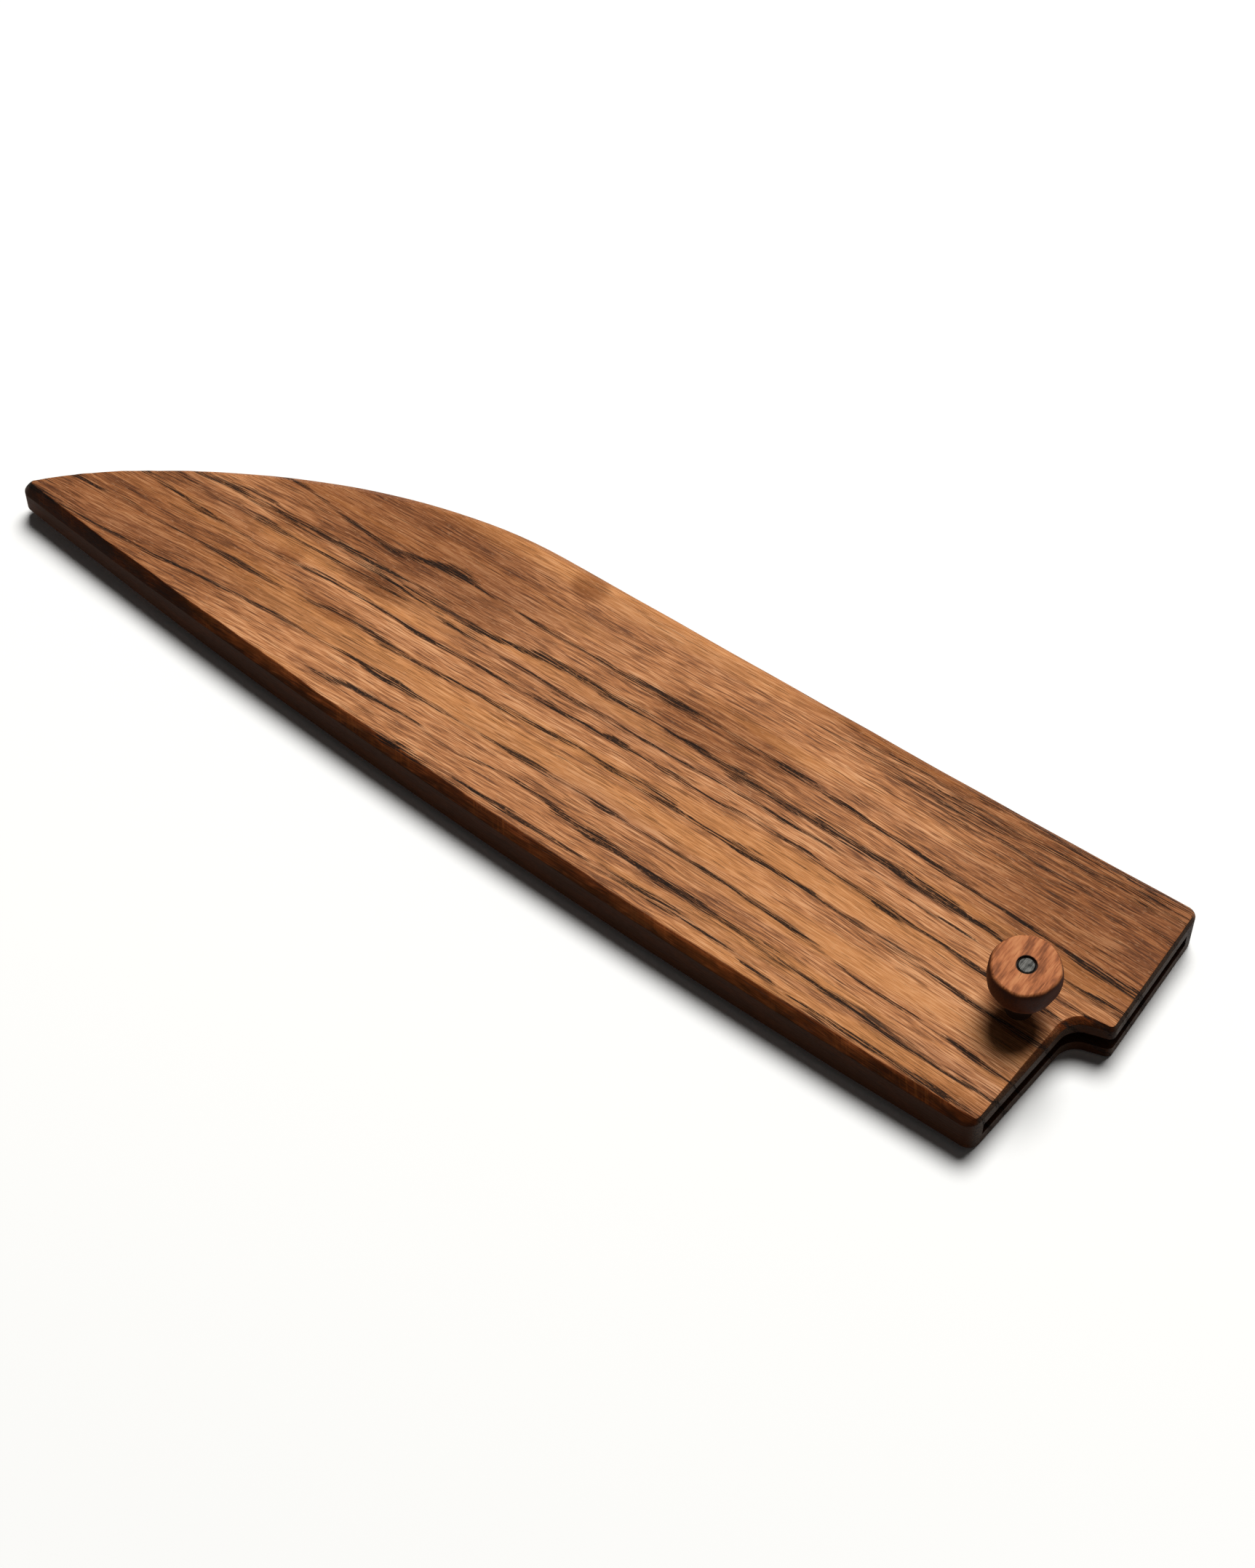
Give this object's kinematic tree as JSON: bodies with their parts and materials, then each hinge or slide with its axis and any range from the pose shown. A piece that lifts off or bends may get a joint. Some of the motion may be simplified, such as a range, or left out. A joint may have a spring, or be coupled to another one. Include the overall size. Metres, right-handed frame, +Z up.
{
  "type": "knife blade guard",
  "caption": "Wooden sheath for a kitchen knife's blade, two boards glued to a spacer round a slot open at one end, with a knobbed pin that keeps the blade in.",
  "frame": {"origin": "centre of the footprint, on the surface that the guard lies on", "axes": "+X from the tip to the open end, along the spine; +Y to the spine side; +Z up, out of the board that carries the knob"},
  "size_m": [0.2222, 0.0578, 0.0234],
  "materials": {
    "board_wood": "hand-sanded, satin oil, open dark pores along the length",
    "spacer_wood": "hand-sanded outside, oiled; bare and dark inside the slot",
    "board_wood_dark": "hand-sanded, satin oil, open dark pores along the length",
    "knob_wood": "turned, satin oil",
    "rod_metal": "cut end, lightly brushed"
  },
  "bodies": {
    "sheath": {"upper_board": "board_wood", "blade_spacer": "spacer_wood", "lower_board": "board_wood_dark"},
    "pin": {"pin_knob": "knob_wood", "pin_rod": "rod_metal"}
  },
  "joints": [
    {"name": "pin_pull", "type": "slide", "parent": "sheath", "child": "pin", "axis": [0, 0, 1], "range_m": [0, 0.012]}
  ]
}
